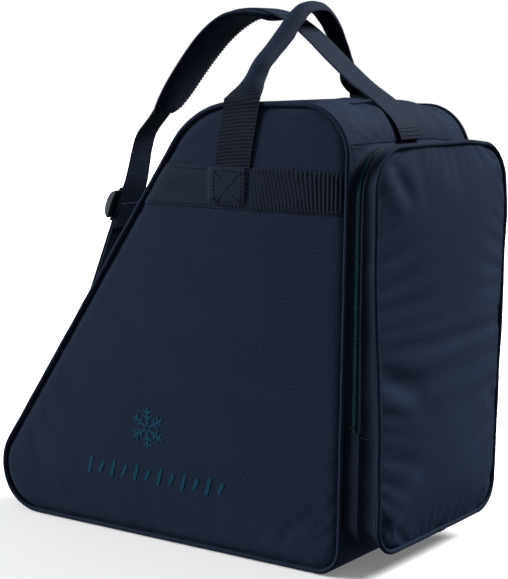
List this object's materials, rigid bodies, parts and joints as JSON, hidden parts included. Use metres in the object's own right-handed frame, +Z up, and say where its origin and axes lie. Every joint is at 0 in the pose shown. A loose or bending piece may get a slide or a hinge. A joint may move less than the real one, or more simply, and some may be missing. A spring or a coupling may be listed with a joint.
{
  "type": "ski boot bag",
  "caption": "Wedge-shaped soft bag for a pair of ski boots, with a fold-down zipped heel box, a webbing carry handle and an adjustable padded shoulder strap.",
  "frame": {"origin": "on the floor, in the middle of the flat base, under the middle of the side panels", "axes": "+X towards the heel and its zipped door box, +Y towards the right side panel, +Z up"},
  "size_m": [0.4327, 0.2245, 0.4849],
  "materials": {
    "twill": "dark navy polyester twill, matt with a faint sheen",
    "webbing": "ribbed polyester webbing, matt",
    "lining": "thin plain-weave lining",
    "foam": "open-cell foam sheet",
    "board": "plain plastic board",
    "piping": "fabric-covered cord, slightly smoother than the panels",
    "zip_tape": "woven zip tape",
    "zip_coil": "dark teal nylon coil",
    "zip_metal": "satin painted zinc",
    "spacer_mesh": "open spacer mesh",
    "buckle": "moulded slate-blue plastic, satin"
  },
  "bodies": {
    "bag": {"base_panel": "twill", "base_board": "board", "toe_gusset": "twill", "top_gusset": "twill", "heel_surround": "twill", "left_side_panel": "twill", "left_foam_pad": "foam", "left_lining": "lining", "left_piping": "piping", "left_seam_binding": "lining", "right_side_panel": "twill", "right_foam_pad": "foam", "right_lining": "lining", "right_piping": "piping", "right_seam_binding": "lining", "left_band": "webbing", "left_handle_leg": "webbing", "left_handle_root": "webbing", "right_band": "webbing", "right_handle_leg": "webbing", "right_handle_root": "webbing", "zip_surround": "twill", "body_zip_tape": "zip_tape", "body_zip_coil": "zip_coil", "left_zip_stop": "zip_metal", "right_zip_stop": "zip_metal", "lower_box_gusset": "twill", "lower_box_panel": "twill", "lower_box_piping": "piping", "strap_anchor": "webbing", "strap_tab": "webbing"},
    "door": {"door_panel": "twill", "door_foam": "foam", "door_lining": "lining", "door_gusset": "twill", "door_piping": "piping", "door_zip_tape": "zip_tape", "door_zip_coil": "zip_coil"},
    "handle": {"carry_handle": "webbing"},
    "strap": {"shoulder_strap": "webbing", "strap_ring": "buckle", "pad_cover": "twill", "pad_foam": "foam", "pad_mesh": "spacer_mesh", "pad_left_binding": "webbing", "pad_right_binding": "webbing"},
    "adjuster": {"adjuster_frame": "buckle", "adjuster_webbing_pass": "webbing", "adjuster_webbing_fold": "webbing"},
    "slider": {"zip_slider": "zip_metal"},
    "pull": {"zip_pull": "zip_metal"}
  },
  "joints": [
    {"name": "door_fold", "type": "hinge", "parent": "bag", "child": "door", "pos_m": [0.22944, 0, 0.128], "axis": [0, 1, 0], "range_deg": [0, 105]},
    {"name": "zip_slide", "type": "slide", "parent": "bag", "child": "slider", "axis": [0.0175, 0.004, 0.9998], "range_m": [0, 0.165]},
    {"name": "pull_swing", "type": "hinge", "parent": "slider", "child": "pull", "pos_m": [0.20113, 0.10999, 0.145], "axis": [1, 0, 0], "range_deg": [0, 165]},
    {"name": "handle_swing", "type": "hinge", "parent": "bag", "child": "handle", "pos_m": [0.084, 0, 0.408], "axis": [0, 1, 0], "range_deg": [-6, 25]},
    {"name": "strap_swing", "type": "hinge", "parent": "bag", "child": "strap", "pos_m": [0.18524, -0.01, 0.38859], "axis": [-0.7776, 0.0253, -0.6283], "range_deg": [-2, 5]},
    {"name": "strap_adjust", "type": "slide", "parent": "strap", "child": "adjuster", "axis": [-0.3867, 0, -0.9222], "range_m": [0, 0.045]}
  ]
}
